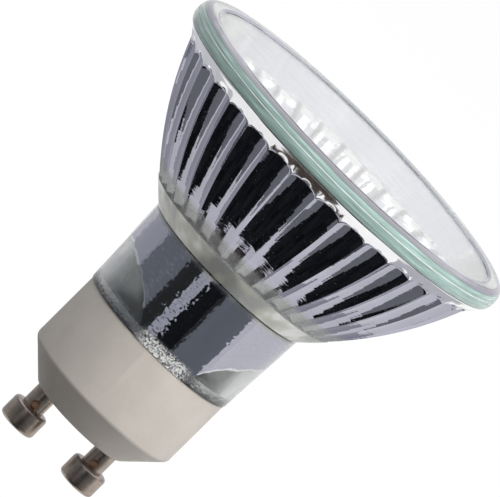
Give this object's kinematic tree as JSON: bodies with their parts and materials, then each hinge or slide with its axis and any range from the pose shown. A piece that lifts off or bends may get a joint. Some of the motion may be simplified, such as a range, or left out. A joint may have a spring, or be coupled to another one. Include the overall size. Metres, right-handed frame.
{
  "type": "reflector spotlight bulb",
  "caption": "Mains halogen reflector bulb: fluted mirrored glass bowl with a bonded front glass, ceramic base and twist-lock contact pins.",
  "frame": {"origin": "on the lamp's axis, on the ceramic seat face that the contact pins come out of", "axes": "+Z along the lamp's axis from the base to the front glass; the contact pins stand along X"},
  "size_m": [0.05, 0.05, 0.053],
  "materials": {
    "ceramic": "matt fired ceramic",
    "pin_metal": "dull nickel plate",
    "mirrored_glass": "clear pressed glass, mirrored on its inside",
    "front_glass": "clear polished glass with a pale green edge",
    "adhesive": "clear set adhesive",
    "cement": "rough white cement",
    "quartz": "clear fused quartz",
    "lamp_wire": "dull drawn wire"
  },
  "bodies": {
    "root": {"ceramic_base": "ceramic", "contact_pin_left": "pin_metal", "contact_pin_right": "pin_metal", "reflector_glass": "mirrored_glass", "cover_glass": "front_glass", "cover_bead": "adhesive", "neck_cement": "cement", "pot_cement": "cement", "capsule_envelope": "quartz", "filament_coil": "lamp_wire", "filament_support": "lamp_wire", "inner_lead_left": "lamp_wire", "inner_lead_right": "lamp_wire", "sealing_foil_left": "lamp_wire", "sealing_foil_right": "lamp_wire", "outer_lead_left": "lamp_wire", "outer_lead_right": "lamp_wire"}
  },
  "joints": []
}
